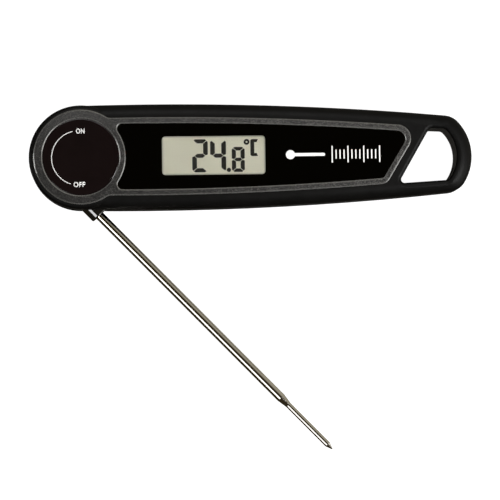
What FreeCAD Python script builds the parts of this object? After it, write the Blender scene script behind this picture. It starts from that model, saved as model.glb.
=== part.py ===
"""Folding digital meat thermometer.

The housing lies on its back: X runs from the hinge end to the hanging loop,
Y across the housing, Z up through the display.  The origin is the hinge axis
where it meets the flat back.  All lengths are millimetres.
"""
import FreeCAD
import Part
import math
import os

# ---------------------------------------------------------------- housing plan
HEAD_R = 18.1            # round hinge end, centred on the hinge axis
CROWN_R = 1090.0         # radius of the two long sides
CROWN_X = 24.0           # where the housing is widest
END_R = 17.7             # round loop end
END_X = 136.5            # furthest point of the loop end
END_Y = -0.8             # the loop end sits slightly low
CORNER_R = 6.8           # corners between the sides and the loop end
CROWN_DROP = math.sqrt((CROWN_R - HEAD_R) ** 2 - CROWN_X ** 2)

# ------------------------------------------------------- levels above the back
PARTING_Z = 9.0          # joint between the two shells, and the probe's centre
SHELL_TOP = 17.6
SEAT_Z = 16.0            # recess that takes the trim, the dial and the lens
TRIM_TOP = 18.0
COVER_TOP = 17.7         # upper faces of the dial cover and the lens
MASK_Z = 16.05
LENS_Z = 16.2
FRONT_WALL_Z = 14.8      # inner face of the front wall
BACK_WALL_Z = 2.0        # inner face of the back wall
HINGE_LOW = 5.6          # floor of the hinge pocket and of the probe slot
HINGE_HIGH = 12.4        # ceiling of the hinge pocket and of the probe slot
BOARD_Z = 12.5
BOARD_T = 0.8

# ------------------------------------------------------------ shells and loop
WALL = 1.8
SIDE_ROLL = 4.2          # rounding of the long front edges
HEAD_ROLL = 1.8          # rounding of the raised hinge end
BACK_ROLL = 3.0
SEAM = 0.25
LOOP_RIM = 1.4
LOOP_CENTRE = (117.9, -0.8)
LOOP_R = 13.1
LOOP_LOW_LEFT = (110.5, -10.3)
LOOP_TOP_LEFT = (121.6, 8.9)
LOOP_FAR_X = 132.0
LOOP_TOP_FAR_Y = 8.4
LOOP_LOW_FAR_Y = -9.0
LOOP_TIGHT_R = 1.2
LOOP_WIDE_R = 2.2
CAVITY_LEFT_R = 18.7     # the electronics bay starts outside this radius
CAVITY_RIGHT_LOW = 101.0
CAVITY_RIGHT_TOP = 110.0
CAVITY_LOW_Y = -3.8

# ---------------------------------------------------------------- trim outline
TRIM_OUT = 4.8           # outer edge of the trim, in from the housing edge
TRIM_IN = 6.85           # inner edge of the trim
RING_OUT = 16.5
RING_IN = 13.4
PANEL_HOLLOW_R = 15.6    # hollow left end of the display panel
SLANT_OUT_TOP = (114.9, 3.8)
SLANT_OUT_LOW = (107.1, -9.2)
TRIM_T = 1.9             # width of the slanted end of the trim
TRIM_EDGE = 0.35
TRIM_TOP_CORNER = 4.8
TRIM_LOW_CORNER = 3.4
TRIM_NECK_R = 3.0        # soft inner corner where the band leaves the ring
PANEL_TOP_CORNER = 3.0
PANEL_LOW_CORNER = 1.8
PANEL_LEFT_CORNER = 1.8
FIT = 0.05               # gap round pieces that drop into a recess
TINY = 1e-4              # two lengths closer than this are the same

# ------------------------------------------------------------ probe and hinge
PROBE_OFFSET = 9.5       # probe axis to hinge axis
PROBE_R = 1.6
PROBE_BORE = 1.15
NEEDLE_R = 1.05
NEEDLE_BORE = 0.7
HOLDER_X = 18.7          # end face of the probe holder
STEP_X = 108.5           # the stem narrows here
STEP_LENGTH = 3.7
TIP_X = 133.9
POINT_LENGTH = 2.4
OPEN_ANGLE = 45.8        # how far the probe stands open at rest
ROTOR_R = 16.5
ROTOR_LOW = 5.9
ROTOR_HIGH = 12.1
POCKET_R = 16.8
HOLDER_R = 3.1           # rounded outer side of the holder
HOLDER_INNER_Y = -4.9
POST_R = 3.5
POST_BORE = 3.55
HUB_R = 5.2
ROTOR_WALL_R = 14.5
LID_T = 1.0
ROTOR_ROOF = 11.0
WASHER_R = 6.8
WASHER_POCKET_R = 7.0
WASHER_T = 0.3
WASHER_BEND_R = 46.0
SEAL_RING_R = 8.05
SEAL_CORD_R = 0.42
LEAD_SLOT_IN = 8.6
LEAD_SLOT_OUT = 10.4
MAGNET_R = 1.5
MAGNET_PLACE_R = 12.7
MAGNET_ANGLE = 14.0
MAGNET_T = 2.0
TUBE_START_X = 6.2
TUBE_ROOT_R = 1.4
PLUG_LENGTH = 4.0
POINT_END_R = 0.15
THERMISTOR_R = 0.55
THERMISTOR_LENGTH = 2.2
THERMISTOR_X = TIP_X - POINT_LENGTH - THERMISTOR_LENGTH - 0.5
THIN_WIRE_R = 0.2
FERRULE_R = 2.0
SEAL_R = 2.3
SEAL_LENGTH = 1.6

# ------------------------------------------------------------------ probe slot
ARM_SLOT_X = 19.4        # the wide part of the slot ends here
ARM_SLOT_Y = -4.2
LINER_Y = -4.6           # back of the slot liner
LINER_T = 1.1
LINER_END_X = 107.0
SLOT_LOW = HINGE_LOW + LINER_T
SLOT_HIGH = HINGE_HIGH - LINER_T
SLOT_TIP_GAP = 0.35

# --------------------------------------------------------------------- display
WINDOW_X = (28.2, 64.2)
WINDOW_Y = (-6.6, 6.9)
WINDOW_R = 1.3
LCD_X = (25.6, 66.4)
LCD_Y = (-9.0, 9.0)
LCD_Z = (14.2, 15.9)
LCD_STEP = 1.3
FRAME_T = 1.0
ZEBRA_Y = 7.9
ZEBRA_W = 1.8

# --------------------------------------------------------------------- battery
CELL_X = 46.0
CELL_R = 10.0
CELL_Z = (1.75, 4.95)
BAY_R = 10.25
BAY_TOP = 5.0
TOWER_R = 15.2
TOWER_TOP = 5.6
DOOR_R = 12.5
DOOR_T = 1.6
DOOR_HOLE_R = 12.6
DOOR_SHOULDER_Z = 1.7
LUG_R = 13.7
LUG_GROOVE_R = 13.85
LUG_Z = (0.9, 1.6)
LUG_ANGLE = 20.0
LUG_COUNT = 3
DOOR_TWIST = 40.0
DOOR_SEAL_R = 11.3
DOOR_SEAL_CORD_R = 0.36
DOOR_GROOVE_HALF = 0.45
DOOR_GROOVE_T = 0.7
COIN_SLOT_HALF = (7.5, 0.95)
COIN_SLOT_T = 0.8
DOOR_MARK_R = 14.8       # the marks lie this far from the middle of the door
LOCK_MARK_R = 0.7
OPEN_MARK_R = 0.45

# ------------------------------------------------------------------- fastenings
HOUSING_SCREWS = [(24.0, 13.3), (22.7, -2.0), (70.5, 12.4), (101.5, 7.6), (96.5, -1.2)]
BOARD_SCREWS = [(70.0, 6.4), (70.0, -2.2), (91.5, 6.0)]
BOSS_R = 2.6
BACK_BOSS_R = 2.9
BOARD_BOSS_R = 2.0
SCREW_R = 1.0
SCREW_HEAD_R = 2.0
SCREW_HEAD_T = 1.5
SCREW_SEAT_Z = 2.2
SCREW_END_Z = 14.0
SCREW_CLEAR = 0.03
BOARD_X = (27.0, 93.5)
BOARD_Y = (-10.8, 9.7)

FLOOR_RIBS = 6
FLOOR_RIB_HALF = 6.0     # half a rib, in degrees
FLOOR_POCKET_R = (9.6, 15.4)
SIDE_POCKETS = [(64.0, 83.0), (85.0, 104.0)]
SIDE_POCKET_Y = (-12.5, -5.8)
PIVOT_SCREW_R = 1.5
PIVOT_HEAD_R = 2.9
PIVOT_HEAD_T = 1.5
PIVOT_SEAT_Z = 14.0
PIVOT_END_Z = 6.5
BOARD_SCREW_R = 0.7
BOARD_SCREW_HEAD_R = 1.5
BOARD_SCREW_HEAD_T = 0.8
BOARD_SCREW_END = 15.2
BOARD_TONGUE_X = 20.9
REED_X = 22.6
REED_Y = (4.0, 8.6)
REED_R = 0.85
REED_LEG_R = 0.2
REED_LEG_OUT = 0.6       # the legs leave the glass this far before they turn
BLOB_PLACE = (80.0, 2.6)
BLOB_R = 4.2
BLOB_T = 1.3
BLOB_ROLL = 1.0
CHIP_X = (58.0, 62.0, 66.0)
CHIP_Y = (-1.8, 1.0, 3.8)
CHIP_HALF = (1.0, 0.6)
CHIP_T = 0.7
CRYSTAL_X = (84.5, 90.5)
CRYSTAL_Y = -2.2
CRYSTAL_R = 0.95
TERMINAL_T = 0.25
TERMINAL_HALF = 1.5      # half the width of a battery contact
TERMINAL_GAP = 0.02
MINUS_X = 40.0
MINUS_FOOT_Y = (6.4, 8.6)
MINUS_TIP_Y = (0.5, 1.6)
PLUS_FOOT_Y = 7.9
LEAD_X = 9.4             # drop hole for the leads beside the hinge
LEAD_Y = 1.4
LEAD_EXIT_X = 21.0
LEAD_WIRE_R = 0.3
CHANNEL_Z = 14.2


# ------------------------------------------------------------- simple geometry
def vec(x, y, z=0.0):
    return FreeCAD.Vector(x, y, z)


def cylinder(radius, z0, z1, x=0.0, y=0.0):
    return Part.makeCylinder(radius, z1 - z0, vec(x, y, z0))


def ring(outer, inner, z0, z1, x=0.0, y=0.0):
    return cylinder(outer, z0, z1, x, y).cut(cylinder(inner, z0, z1, x, y))


def block(x0, x1, y0, y1, z0, z1):
    return Part.makeBox(x1 - x0, y1 - y0, z1 - z0, vec(x0, y0, z0))


def rod_x(radius, x0, x1, y, z):
    return Part.makeCylinder(radius, x1 - x0, vec(x0, y, z), vec(1, 0, 0))


def cone_x(r0, r1, x0, x1, y, z):
    return Part.makeCone(r0, r1, x1 - x0, vec(x0, y, z), vec(1, 0, 0))


def prism(wire, z0, z1):
    face = Part.Face(wire)
    face.translate(vec(0, 0, z0))
    return face.extrude(vec(0, 0, z1 - z0))


def polygon(points):
    corners = [vec(x, y) for x, y in points]
    return Part.makePolygon(corners + corners[:1])


def sector(outer, inner, start, end, z0, z1):
    """Ring sector about the origin, from angle start to angle end in degrees."""
    pie = Part.makeCylinder(outer, z1 - z0, vec(0, 0, z0), vec(0, 0, 1), end - start)
    pie.rotate(vec(0, 0), vec(0, 0, 1), start)
    return pie.cut(cylinder(inner, z0, z1))


def rounded_block(x0, x1, y0, y1, z0, z1, radius):
    return round_uprights(block(x0, x1, y0, y1, z0, z1), radius, lambda p: True)


def round_uprights(shape, radius, wanted):
    """Round the vertical edges whose middle satisfies wanted."""
    edges = [e for e in shape.Edges if is_upright(e) and wanted(e.CenterOfMass)]
    return shape.makeFillet(radius, edges)


def is_upright(edge):
    bounds = edge.BoundBox
    return bounds.XLength < TINY and bounds.YLength < TINY


def level_edges(shape, z):
    """Edges that lie in the plane at height z."""
    return [e for e in shape.Edges if abs(e.BoundBox.ZMin - z) < TINY and abs(e.BoundBox.ZMax - z) < TINY]


def wire_run(points, radius):
    """Round wire along straight runs, with ball joints at the bends."""
    path = [vec(*p) for p in points]
    pieces = [Part.makeCylinder(radius, (b - a).Length, a, b - a) for a, b in zip(path, path[1:])]
    pieces += [Part.makeSphere(radius, p) for p in path[1:-1]]
    return fuse_all(pieces)


def fuse_all(shapes):
    result = shapes[0]
    for shape in shapes[1:]:
        result = result.fuse(shape)
    return result.removeSplitter()


def cut_all(shape, tools):
    for tool in tools:
        shape = shape.cut(tool)
    return shape


def save(name, shape):
    """Write one node; several solids stay separate in a compound."""
    solids = shape.Solids
    result = solids[0] if len(solids) == 1 else Part.makeCompound(solids)
    result.exportStep(os.path.join("parts", name + ".step"))


# --------------------------------------------------------------- housing outline
def arc(start, middle, end):
    return Part.Arc(start, middle, end).toShape()


def arc_about(centre, start, end):
    """Short arc about centre from start to end."""
    middle = (start - centre) + (end - centre)
    middle.normalize()
    return arc(start, centre + middle * (start - centre).Length, end)


def unit(vector):
    result = FreeCAD.Vector(vector)
    result.normalize()
    return result


def circles_meet(centre_a, radius_a, centre_b, radius_b):
    """The crossing of two circles that lies further along X."""
    gap = centre_b - centre_a
    along = (gap.Length ** 2 + radius_a ** 2 - radius_b ** 2) / (2 * gap.Length)
    across = math.sqrt(radius_a ** 2 - along ** 2)
    direction = unit(gap)
    normal = vec(-direction.y, direction.x)
    options = [centre_a + direction * along + normal * (across * sign) for sign in (1, -1)]
    return max(options, key=lambda p: p.x)


def crown_centre(side):
    return vec(CROWN_X, -side * CROWN_DROP)


def end_centre():
    return vec(END_X - END_R, END_Y)


def corner_arc_points(side, inset):
    """Start, middle and end of one corner between a side and the loop end."""
    crown = crown_centre(side)
    corner = circles_meet(crown, CROWN_R - CORNER_R, end_centre(), END_R - CORNER_R)
    on_side = crown + unit(corner - crown) * (CROWN_R - inset)
    on_end = end_centre() + unit(corner - end_centre()) * (END_R - inset)
    outwards = unit(unit(on_side - corner) + unit(on_end - corner))
    return on_side, corner + outwards * (CORNER_R - inset), on_end


def head_tangent(side, inset):
    return unit(crown_centre(side) * -1) * (HEAD_R - inset)


def housing_outline(inset=0.0):
    """Plan of the housing, moved in by inset."""
    top = corner_arc_points(1, inset)
    low = corner_arc_points(-1, inset)
    head_top = head_tangent(1, inset)
    head_low = head_tangent(-1, inset)
    return Part.Wire([
        arc(head_low, vec(inset - HEAD_R, 0), head_top),
        arc_about(crown_centre(1), head_top, top[0]),
        arc(*top),
        arc_about(end_centre(), top[2], low[2]),
        arc(low[2], low[1], low[0]),
        arc_about(crown_centre(-1), low[0], head_low),
    ])


def side_y(x, side, inset):
    """Y of a long side, moved in by inset, at station x."""
    reach = math.sqrt((CROWN_R - inset) ** 2 - (x - CROWN_X) ** 2)
    return side * (reach - CROWN_DROP)


# --------------------------------------------------------------- housing blanks
def loop_hole():
    """Slanted finger-and-hook hole in the loop end."""
    plan = polygon([LOOP_LOW_LEFT, (LOOP_FAR_X, LOOP_LOW_FAR_Y), (LOOP_FAR_X, LOOP_TOP_FAR_Y), LOOP_TOP_LEFT])
    low, high = -1.0, TRIM_TOP + 1.0
    x, y = LOOP_CENTRE
    round_end = cylinder(LOOP_R, low, high, x, y)
    straight = block(LOOP_LOW_LEFT[0] - 1, x, y - LOOP_R - 1, y + LOOP_R + 1, low, high)
    hole = prism(plan, low, high).common(round_end.fuse(straight))
    hole = round_uprights(hole, LOOP_TIGHT_R, lambda p: p.x < x and p.y < 0)
    return round_uprights(hole, LOOP_WIDE_R, lambda p: abs(p.y) > 7.5 and not (p.x < x and p.y < 0))


def rim_edges(solid, hole):
    """Edges where the flat front and back meet the wall of the hole."""
    flat = level_edges(solid, 0) + level_edges(solid, SHELL_TOP)
    middles = [(e, e.valueAt((e.FirstParameter + e.LastParameter) / 2)) for e in flat]
    return [e for e, middle in middles if hole.distToShape(Part.Vertex(middle))[0] < 1e-3]


def housing_blank():
    """Solid, rounded housing with the loop hole and the raised hinge end."""
    solid = prism(housing_outline(), 0, SHELL_TOP)
    solid = solid.makeFillet(SIDE_ROLL, level_edges(solid, SHELL_TOP))
    solid = solid.makeFillet(BACK_ROLL, level_edges(solid, 0))
    hole = loop_hole()
    solid = solid.cut(hole)
    solid = solid.makeFillet(LOOP_RIM, rim_edges(solid, hole))
    head = cylinder(HEAD_R, PARTING_Z, SHELL_TOP)
    head = head.makeFillet(HEAD_ROLL, level_edges(head, SHELL_TOP))
    return solid.fuse(head).removeSplitter()


# ------------------------------------------------------- shapes cut from shells
def hinge_space():
    """Round pocket for the rotor, open wherever the probe holder swings past."""
    reach = HEAD_R + 3
    pocket = cylinder(POCKET_R, HINGE_LOW, HINGE_HIGH)
    left = block(-reach, 0, -reach, PROBE_OFFSET + HOLDER_R + 0.4, HINGE_LOW, HINGE_HIGH)
    low = block(-1, ARM_SLOT_X, -reach, ARM_SLOT_Y, HINGE_LOW, HINGE_HIGH)
    return pocket.fuse(left).fuse(low)


def liner_space():
    """Wide slot along the low side that holds the slot liner."""
    return block(ARM_SLOT_X - 1, LINER_END_X, -HEAD_R - 3, LINER_Y, HINGE_LOW, HINGE_HIGH)


def needle_space():
    """Narrow slot through the loop end, closed beyond the folded point."""
    reach = math.hypot(TIP_X, PROBE_OFFSET) + SLOT_TIP_GAP
    strip = block(LINER_END_X - 1, END_X, -HEAD_R - 3, LINER_Y, SLOT_LOW, SLOT_HIGH)
    return strip.common(cylinder(reach, SLOT_LOW, SLOT_HIGH))


def bay_plan(low_y, low_z, high_z):
    """Electronics bay between the hinge wall and the loop."""
    plan = polygon([
        (0, low_y), (CAVITY_RIGHT_LOW, low_y), (CAVITY_RIGHT_TOP, HEAD_R), (0, HEAD_R),
    ])
    bay = prism(plan, low_z, high_z)
    return bay.cut(cylinder(CAVITY_LEFT_R, low_z, high_z))


def electronics_bay(low_z, high_z, low_y):
    """Hollow of the shells, a wall thickness inside the outline."""
    inside = prism(housing_outline(WALL), low_z, high_z)
    return inside.common(bay_plan(low_y, low_z, high_z))


def screw_space(x, y):
    """Counterbore, clearance and pilot for one housing screw from the back."""
    head = cylinder(SCREW_HEAD_R + 0.15, -1, SCREW_SEAT_Z, x, y)
    clearance = cylinder(SCREW_R + 0.15, 0, PARTING_Z, x, y)
    pilot = cylinder(SCREW_R + SCREW_CLEAR, PARTING_Z, SCREW_END_Z + 0.3, x, y)
    return fuse_all([head, clearance, pilot])


def seam_groove():
    """Shadow line round the front shell where it meets the back shell."""
    high = PARTING_Z + SEAM
    return prism(housing_outline(), PARTING_Z, high).cut(prism(housing_outline(SEAM), PARTING_Z, high))


# ------------------------------------------------------------------ front trim
def band(inset, z0, z1, left, top, low):
    """Panel shape: two long sides, a straight left end and the slanted right end."""
    slope = (top[0] - low[0]) / (top[1] - low[1])
    corner_top = slant_corner(top, slope, 1, inset)
    corner_low = slant_corner(top, slope, -1, inset)
    left_top = vec(left, side_y(left, 1, inset))
    left_low = vec(left, side_y(left, -1, inset))
    plan = Part.Wire([
        arc_about(crown_centre(1), left_top, corner_top),
        Part.LineSegment(corner_top, corner_low).toShape(),
        arc_about(crown_centre(-1), corner_low, left_low),
        Part.LineSegment(left_low, left_top).toShape(),
    ])
    return prism(plan, z0, z1)


def slant_corner(start, slope, side, inset):
    """Where the slanted end crosses one long side."""
    y = start[1]
    for _ in range(20):
        x = start[0] + (y - start[1]) * slope
        y = side_y(x, side, inset)
    return vec(x, y)


def slant_points(shift):
    """Slanted end of the trim, moved square to itself by shift towards the hinge."""
    run = vec(*SLANT_OUT_TOP) - vec(*SLANT_OUT_LOW)
    normal = unit(vec(-run.y, run.x)) * shift
    top = vec(*SLANT_OUT_TOP) + normal
    low = vec(*SLANT_OUT_LOW) + normal
    return (top.x, top.y), (low.x, low.y)


def trim_outer(z0, z1, grow=0.0):
    """Ring round the dial joined to the band round the display."""
    top, low = slant_points(-grow)
    strip = band(TRIM_OUT - grow, z0, z1, 2.0, top, low)
    strip = round_uprights(strip, TRIM_TOP_CORNER, lambda p: p.x > 50 and p.y > 0)
    strip = round_uprights(strip, TRIM_LOW_CORNER, lambda p: p.x > 50 and p.y < 0)
    outer = fuse_all([strip, cylinder(RING_OUT + grow, z0, z1)])
    return round_uprights(outer, TRIM_NECK_R, lambda p: 4 < p.x < 14)


def display_panel(z0, z1, shrink=0.0):
    """Lens-shaped opening of the trim: hollow at the left, slanted at the right."""
    top, low = slant_points(TRIM_T + shrink)
    panel = band(TRIM_IN + shrink, z0, z1, 5.0, top, low)
    panel = panel.cut(cylinder(PANEL_HOLLOW_R + shrink, z0, z1))
    panel = round_uprights(panel, PANEL_TOP_CORNER, lambda p: p.x > 50 and p.y > 0)
    panel = round_uprights(panel, PANEL_LOW_CORNER, lambda p: p.x > 50 and p.y < 0)
    return round_uprights(panel, PANEL_LEFT_CORNER, lambda p: p.x < 50)


def bezel_trim():
    """Metal-look frame round the dial and the display, edges broken."""
    trim = trim_outer(SEAT_Z, TRIM_TOP)
    trim = trim.cut(display_panel(SEAT_Z, TRIM_TOP))
    trim = trim.cut(cylinder(RING_IN, SEAT_Z, TRIM_TOP))
    return trim.makeChamfer(TRIM_EDGE, level_edges(trim, TRIM_TOP))


def dial_cover():
    disc = cylinder(RING_IN - FIT, MASK_Z, COVER_TOP)
    return disc.makeFillet(0.3, level_edges(disc, COVER_TOP))


def display_lens():
    lens = display_panel(LENS_Z, COVER_TOP, FIT)
    return lens.makeChamfer(0.15, level_edges(lens, COVER_TOP))


def lens_mask():
    """Dark film behind the lens with a clear window over the display."""
    film = display_panel(MASK_Z, LENS_Z, FIT + 0.2)
    return film.cut(rounded_block(*WINDOW_X, *WINDOW_Y, MASK_Z, LENS_Z, WINDOW_R))


# ------------------------------------------------------------------ front shell
def lead_channel():
    """Drop hole beside the hinge and a covered groove to the electronics bay."""
    low, high = LEAD_Y - 1.0, LEAD_Y + 1.0
    groove = block(LEAD_X - 0.9, LEAD_EXIT_X, low, high, CHANNEL_Z, SEAT_Z)
    drop = cylinder(0.95, HINGE_HIGH, SEAT_Z, LEAD_X, LEAD_Y)
    return groove.fuse(drop)


def pivot_space():
    """Counterbored hole for the pivot screw, under the dial cover."""
    head = cylinder(PIVOT_HEAD_R + 0.2, PIVOT_SEAT_Z, SEAT_Z)
    return head.fuse(cylinder(PIVOT_SCREW_R + SCREW_CLEAR, HINGE_HIGH, SEAT_Z))


def display_opening():
    """Hole in the front wall for the display and its frame."""
    edge = FRAME_T + FIT
    low = BOARD_Z + BOARD_T - FIT
    return block(LCD_X[0] - edge, LCD_X[1] + edge, LCD_Y[0] - edge, LCD_Y[1] + edge, low, SEAT_Z)


def front_bosses():
    housing = [cylinder(BOSS_R, PARTING_Z, SEAT_Z, x, y) for x, y in HOUSING_SCREWS]
    board = [cylinder(BOARD_BOSS_R, BOARD_Z + BOARD_T, SEAT_Z, x, y) for x, y in BOARD_SCREWS]
    return housing + board


def board_screw_space(x, y):
    return cylinder(BOARD_SCREW_R + 0.02, BOARD_Z, BOARD_SCREW_END + 0.2, x, y)


def front_shell(blank):
    reach = 2 * END_X
    shell = blank.common(block(-reach, reach, -reach, reach, PARTING_Z, SHELL_TOP))
    shell = cut_all(shell, [
        electronics_bay(PARTING_Z, FRONT_WALL_Z, CAVITY_LOW_Y),
        electronics_bay(HINGE_HIGH, FRONT_WALL_Z, -HEAD_R),
        trim_outer(SEAT_Z, SHELL_TOP + 1, FIT),
    ])
    shell = fuse_all([shell] + front_bosses())
    shell = cut_all(shell, [
        hinge_space(), liner_space(), needle_space(), seam_groove(), display_opening(),
        lead_channel(), pivot_space(),
    ])
    shell = cut_all(shell, [screw_space(x, y) for x, y in HOUSING_SCREWS])
    return cut_all(shell, [board_screw_space(x, y) for x, y in BOARD_SCREWS])


# ------------------------------------------------------------------- back shell
def hinge_floor_pockets():
    """Ring of pockets under the rotor that lightens the thick floor."""
    step = 360 / FLOOR_RIBS
    inner, outer = FLOOR_POCKET_R
    starts = [i * step + FLOOR_RIB_HALF for i in range(FLOOR_RIBS)]
    width = step - 2 * FLOOR_RIB_HALF
    return [sector(outer, inner, start, start + width, BACK_WALL_Z, HINGE_LOW) for start in starts]


def side_pockets():
    """Pockets under the slot liner."""
    return [block(x0, x1, *SIDE_POCKET_Y, BACK_WALL_Z, HINGE_LOW) for x0, x1 in SIDE_POCKETS]


def seal_groove():
    outer = SEAL_RING_R + SEAL_CORD_R + 0.05
    inner = SEAL_RING_R - SEAL_CORD_R - 0.05
    return ring(outer, inner, HINGE_LOW - 0.6, HINGE_LOW)


def cell_bay():
    """Stepped hole for the battery door, its lugs and the coin cell."""
    door = cylinder(DOOR_HOLE_R, -1, DOOR_SHOULDER_Z, CELL_X)
    groove = cylinder(LUG_GROOVE_R, LUG_Z[0] - FIT, DOOR_SHOULDER_Z, CELL_X)
    bay = cylinder(BAY_R, 0, BAY_TOP, CELL_X)
    return fuse_all([door, groove, bay] + lug_entries())


def lug_sector(index, turn, margin, outer, z0, z1):
    middle = 90 + index * 360 / LUG_COUNT + turn
    half = LUG_ANGLE / 2 + margin
    lug = sector(outer, DOOR_R - 1.0, middle - half, middle + half, z0, z1)
    lug.translate(vec(CELL_X, 0))
    return lug


def lug_entries():
    """Notches that let the lugs in once the door is turned to its open mark."""
    return [lug_sector(i, -DOOR_TWIST, 2.0, LUG_GROOVE_R, -1, LUG_Z[0]) for i in range(LUG_COUNT)]


def door_marks():
    """Dimples in the back that show where the door locks and where it opens."""
    marks = []
    for angle, radius in ((90.0, LOCK_MARK_R), (90.0 - DOOR_TWIST, OPEN_MARK_R)):
        x = CELL_X + DOOR_MARK_R * math.cos(math.radians(angle))
        marks.append(cylinder(radius, -1, 0.3, x, DOOR_MARK_R * math.sin(math.radians(angle))))
    return marks


def terminal_windows():
    minus = block(MINUS_X - 2.2, MINUS_X + 2.2, 0, 9.2, BAY_TOP - 0.1, TOWER_TOP + 0.1)
    plus = block(CELL_X - 2.0, CELL_X + 2.0, CELL_R - 1.0, CELL_R + 0.8, BACK_WALL_Z + 0.1, TOWER_TOP + 0.1)
    return [minus, plus]


def back_shell(blank):
    reach = 2 * END_X
    shell = blank.common(block(-reach, reach, -reach, reach, 0, PARTING_Z))
    shell = shell.cut(electronics_bay(BACK_WALL_Z, PARTING_Z, CAVITY_LOW_Y))
    inside = prism(housing_outline(WALL / 2), BACK_WALL_Z - 1, PARTING_Z)
    tower = cylinder(TOWER_R, BACK_WALL_Z - 1, TOWER_TOP, CELL_X).common(inside)
    bosses = [cylinder(BACK_BOSS_R, BACK_WALL_Z - 1, PARTING_Z, x, y) for x, y in HOUSING_SCREWS]
    shell = fuse_all([shell, tower] + [boss.common(inside) for boss in bosses])
    shell = cut_all(shell, [hinge_space(), liner_space(), needle_space(), cell_bay()])
    shell = cut_all(shell, terminal_windows() + hinge_floor_pockets() + side_pockets() + door_marks())
    shell = cut_all(shell, [screw_space(x, y) for x, y in HOUSING_SCREWS])
    post = cylinder(POST_R, HINGE_LOW - 1, HINGE_HIGH - FIT)
    shell = fuse_all([shell, post]).cut(seal_groove())
    return shell.cut(cylinder(PIVOT_SCREW_R + SCREW_CLEAR, PIVOT_END_Z - 0.5, HINGE_HIGH))


def probe_channel():
    """Plastic channel that lines the probe slot."""
    outer = block(ARM_SLOT_X, LINER_END_X, -HEAD_R - 1, LINER_Y, HINGE_LOW, HINGE_HIGH)
    inner = block(ARM_SLOT_X - 1, LINER_END_X + 1, -HEAD_R - 2, LINER_Y - LINER_T, SLOT_LOW, SLOT_HIGH)
    return outer.cut(inner).common(prism(housing_outline(), 0, SHELL_TOP))


# ------------------------------------------------------------------ electronics
def lcd_cell():
    """Two glass plates; the rear one is wider and carries the contacts."""
    middle = (LCD_Z[0] + LCD_Z[1]) / 2
    rear = block(*LCD_X, *LCD_Y, LCD_Z[0], middle)
    return rear.fuse(block(*LCD_X, LCD_Y[0] + LCD_STEP, LCD_Y[1] - LCD_STEP, middle, LCD_Z[1]))


def lcd_frame():
    """Plastic frame that holds the display and the contact strips on the board."""
    board_top = BOARD_Z + BOARD_T
    outer = block(LCD_X[0] - FRAME_T, LCD_X[1] + FRAME_T, LCD_Y[0] - FRAME_T, LCD_Y[1] + FRAME_T,
                  board_top, LCD_Z[1])
    seat = block(LCD_X[0] - FIT, LCD_X[1] + FIT, LCD_Y[0] - FIT, LCD_Y[1] + FIT, LCD_Z[0] - FIT, LCD_Z[1])
    hole = block(LCD_X[0] + 1.5, LCD_X[1] - 1.5, LCD_Y[0] + 0.2, LCD_Y[1] - 0.2, board_top, LCD_Z[1])
    return outer.cut(seat).cut(hole)


def zebra_strips():
    """Rubber contact strips between the board and the display."""
    half = ZEBRA_W / 2
    ends = (LCD_X[0] + 2.5, LCD_X[1] - 2.5)
    strips = [block(*ends, y - half, y + half, BOARD_Z + BOARD_T, LCD_Z[0]) for y in (-ZEBRA_Y, ZEBRA_Y)]
    return Part.makeCompound(strips)


def main_board():
    plate = rounded_block(*BOARD_X, *BOARD_Y, BOARD_Z, BOARD_Z + BOARD_T, 1.0)
    tongue = block(BOARD_TONGUE_X, BOARD_X[0] + 1, 2.9, 9.4, BOARD_Z, BOARD_Z + BOARD_T)
    board = fuse_all([plate, tongue])
    return cut_all(board, [cylinder(BOARD_SCREW_R + 0.05, 0, SHELL_TOP, x, y) for x, y in BOARD_SCREWS])


def controller_blob():
    blob = cylinder(BLOB_R, BOARD_Z - BLOB_T, BOARD_Z, *BLOB_PLACE)
    return blob.makeFillet(BLOB_ROLL, level_edges(blob, BOARD_Z - BLOB_T))


def board_components():
    """Chip resistors and capacitors in rows, and a watch crystal."""
    half_x, half_y = CHIP_HALF
    chips = [
        block(x - half_x, x + half_x, y - half_y, y + half_y, BOARD_Z - CHIP_T, BOARD_Z)
        for x in CHIP_X for y in CHIP_Y
    ]
    crystal = rod_x(CRYSTAL_R, *CRYSTAL_X, CRYSTAL_Y, BOARD_Z - CRYSTAL_R - 0.03)
    return Part.makeCompound(chips + [crystal])


def reed_switch():
    """Glass reed switch next to the hinge, with its legs in the board."""
    low, high = REED_Y
    z = BOARD_Z - REED_R - 0.15
    pieces = [Part.makeCylinder(REED_R, high - low, vec(REED_X, low, z), vec(0, 1, 0))]
    for inner, outer in ((low + 0.1, low - REED_LEG_OUT), (high - 0.1, high + REED_LEG_OUT - 0.1)):
        path = [(REED_X, inner, z), (REED_X, outer, z), (REED_X, outer, BOARD_Z)]
        pieces.append(wire_run(path, REED_LEG_R))
    return fuse_all(pieces)


def bent_strip(points, x0, x1):
    """Sheet strip whose side view is the given outline of (y, z) points."""
    corners = [vec(x0, y, z) for y, z in points]
    face = Part.Face(Part.makePolygon(corners + corners[:1]))
    return face.extrude(vec(x1 - x0, 0, 0))


def battery_terminal_minus():
    """Spring leaf from the board to the upper face of the cell."""
    t = TERMINAL_T
    leaf, contact = BAY_TOP + 0.3, CELL_Z[1] + TERMINAL_GAP
    foot, back = MINUS_FOOT_Y
    tip, bend = MINUS_TIP_Y
    return bent_strip([
        (foot, BOARD_Z), (foot, BOARD_Z - t), (back - t, BOARD_Z - t), (back - t, leaf + t), (bend, leaf + t),
        (tip, contact + t), (tip, contact), (tip + 0.4, contact), (bend + 0.3, leaf), (back, leaf),
        (back, BOARD_Z),
    ], MINUS_X - TERMINAL_HALF, MINUS_X + TERMINAL_HALF)


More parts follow.
